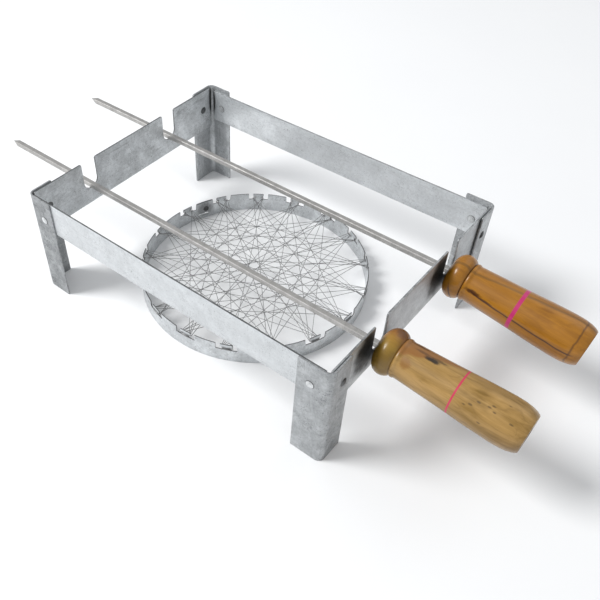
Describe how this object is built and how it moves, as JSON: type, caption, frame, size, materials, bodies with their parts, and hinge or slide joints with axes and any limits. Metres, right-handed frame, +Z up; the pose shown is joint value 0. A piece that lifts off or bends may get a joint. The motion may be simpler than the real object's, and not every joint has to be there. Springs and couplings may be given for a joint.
{
  "type": "tabletop tandoor grill",
  "caption": "Riveted sheet-steel grill stand on legs, wooden-handled skewers lying in its notches, and a loose wire-laced roasting ring on the floor inside.",
  "frame": {"origin": "at floor level, under the middle of the box around the whole object at rest", "axes": "+X along the skewers from the tips to the handles, +Y across the stand towards its far side, +Z up"},
  "size_m": [0.4562, 0.2024, 0.088],
  "materials": {
    "galvanised_sheet": "spangled, dull",
    "rivet_steel": "dull",
    "rod_steel": "brushed, warm grey",
    "ring_sheet": "dull, scuffed",
    "lacing_wire": "dull",
    "wood_tan": "varnished, tan",
    "wood_orange": "varnished, orange-brown"
  },
  "bodies": {
    "stand": {"leg_tip_near": "galvanised_sheet", "leg_tip_far": "galvanised_sheet", "leg_handle_near": "galvanised_sheet", "leg_handle_far": "galvanised_sheet", "side_rail_near": "galvanised_sheet", "side_rail_far": "galvanised_sheet", "end_rail_tip": "galvanised_sheet", "end_rail_handle": "galvanised_sheet", "rivets_tip_near": "rivet_steel", "rivets_tip_far": "rivet_steel", "rivets_handle_near": "rivet_steel", "rivets_handle_far": "rivet_steel"},
    "skewer_near": {"rod_near": "rod_steel", "handle_near": "wood_tan"},
    "skewer_far": {"rod_far": "rod_steel", "handle_far": "wood_orange"},
    "roasting_ring": {"ring_hoop": "ring_sheet", "ring_seam_rivet": "rivet_steel", "lacing_pass_1": "lacing_wire", "lacing_pass_2": "lacing_wire", "lacing_pass_3": "lacing_wire", "lacing_pass_4": "lacing_wire", "wire_end": "lacing_wire"}
  },
  "joints": [
    {"name": "skewer_near_turn", "type": "hinge", "parent": "stand", "child": "skewer_near", "pos_m": [0, -0.0447, 0.0661], "axis": [1, 0, 0], "continuous": true},
    {"name": "skewer_far_turn", "type": "hinge", "parent": "stand", "child": "skewer_far", "pos_m": [0, 0.043, 0.0661], "axis": [1, 0, 0], "continuous": true},
    {"name": "ring_slide", "type": "slide", "parent": "stand", "child": "roasting_ring", "axis": [0, -1, 0], "range_m": [0, 0.2]}
  ]
}
